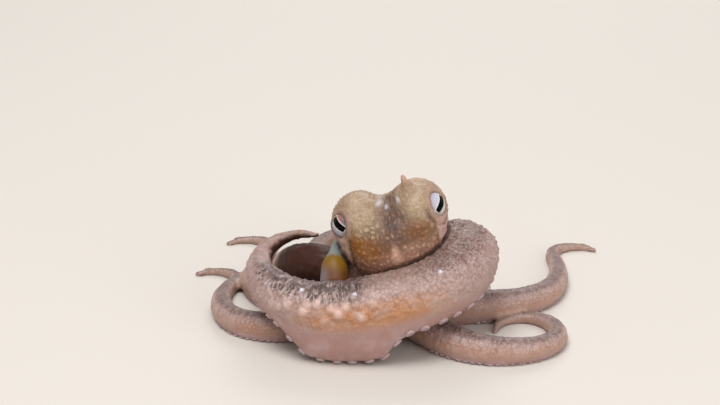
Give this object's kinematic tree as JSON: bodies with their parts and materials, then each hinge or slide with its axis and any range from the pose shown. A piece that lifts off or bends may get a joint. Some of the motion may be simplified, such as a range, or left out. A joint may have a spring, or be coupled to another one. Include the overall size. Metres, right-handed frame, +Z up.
{
  "type": "octopus",
  "caption": "Young veined octopus sitting at rest, head raised, one thick arm folded across its front and the other arms curled on the floor behind and beside it.",
  "frame": {"origin": "on the floor, on the flat underside of the web, just in front of the middle of the crown of arms and below the midpoint between the eyes", "axes": "+Z up; the face looks along -Y and the mantle lies toward +Y; the animal's left side is +X"},
  "size_m": [0.0698, 0.0609, 0.026],
  "materials": {
    "body_skin": "moist satin, finely reticulated beige-brown skin",
    "arm_skin": "moist granular lavender-pink and tan skin with dark veins",
    "eye": "wet gloss, silvery white iris with a black slit pupil",
    "funnel": "moist, slightly translucent, olive-yellow inside"
  },
  "bodies": {
    "root": {"head": "body_skin", "eye_left": "eye", "eye_right": "eye", "web": "arm_skin", "mantle": "body_skin", "funnel": "funnel", "arm_left_1_base": "arm_skin", "arm_left_1_mid": "arm_skin", "arm_left_1_tip": "arm_skin", "arm_left_2_base": "arm_skin", "arm_left_2_rise": "arm_skin", "arm_left_2_front": "arm_skin", "arm_left_2_turn": "arm_skin", "arm_left_2_curl": "arm_skin", "arm_left_2_tip": "arm_skin", "arm_left_3_base": "arm_skin", "arm_left_3_mid": "arm_skin", "arm_left_3_tip": "arm_skin", "arm_left_4_base": "arm_skin", "arm_left_4_mid": "arm_skin", "arm_left_4_tip": "arm_skin", "arm_right_1_base": "arm_skin", "arm_right_1_mid": "arm_skin", "arm_right_1_tip": "arm_skin", "arm_right_2_base": "arm_skin", "arm_right_2_mid": "arm_skin", "arm_right_2_tip": "arm_skin", "arm_right_3_base": "arm_skin", "arm_right_3_mid": "arm_skin", "arm_right_3_tip": "arm_skin", "arm_right_4_base": "arm_skin", "arm_right_4_mid": "arm_skin", "arm_right_4_tip": "arm_skin"}
  },
  "joints": []
}
